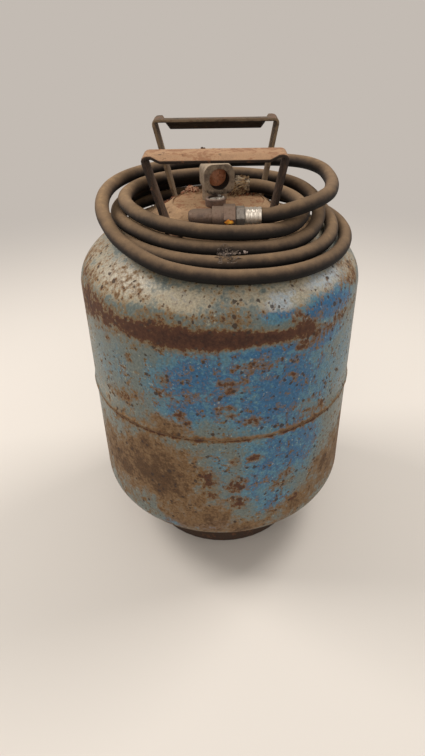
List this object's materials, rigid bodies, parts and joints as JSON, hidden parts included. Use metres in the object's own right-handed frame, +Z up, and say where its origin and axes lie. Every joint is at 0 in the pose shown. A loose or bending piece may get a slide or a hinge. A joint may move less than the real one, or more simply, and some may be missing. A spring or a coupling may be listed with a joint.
{
  "type": "gas cylinder",
  "caption": "Rusty painted steel gas cylinder with strap handles, an outlet valve, a relief valve and a loose coil of rubber hose that ends in a bullet-nose connector.",
  "frame": {"origin": "centre of the foot ring's lower edge, on the floor", "axes": "+Z up along the vessel's axis, +X to the right and -Y towards the viewer when the outlet is seen from the front"},
  "size_m": [0.3078, 0.3078, 0.486],
  "materials": {
    "shell_paint": "blue-grey paint worn through to rust in spots and bands",
    "foot_rust": "rusty bare steel with tan dust",
    "strap_steel": "rusty tan-brown steel strap",
    "valve_brass": "grey-brown tarnish",
    "zinc_plate": "dull zinc plating with a pale crust",
    "hose_rubber": "black rubber under tan dust",
    "packing": "pressed fibre"
  },
  "bodies": {
    "cylinder": {"upper_shell": "shell_paint", "lower_shell": "shell_paint", "foot_ring": "foot_rust", "crown_flange": "foot_rust", "front_handle": "strap_steel", "rear_handle": "strap_steel", "valve_body": "valve_brass", "valve_packing_nut": "valve_brass", "valve_packing_ring": "packing", "valve_seat_plug": "valve_brass", "relief_body": "valve_brass", "relief_poppet": "zinc_plate", "hose_nose": "valve_brass", "hose_stem": "valve_brass", "hose_ferrule": "zinc_plate", "hose": "hose_rubber"},
    "spindle": {"valve_spindle": "valve_brass"},
    "swivel": {"hose_swivel_nut": "valve_brass"}
  },
  "joints": [
    {"name": "spindle_turn", "type": "hinge", "parent": "cylinder", "child": "spindle", "pos_m": [-0.004, 0.01, 0.46], "axis": [0, 0, 1], "range_deg": [0, 720]},
    {"name": "swivel_spin", "type": "hinge", "parent": "cylinder", "child": "swivel", "pos_m": [0.005, -0.0795, 0.4217], "axis": [1, 0, 0], "continuous": true}
  ]
}
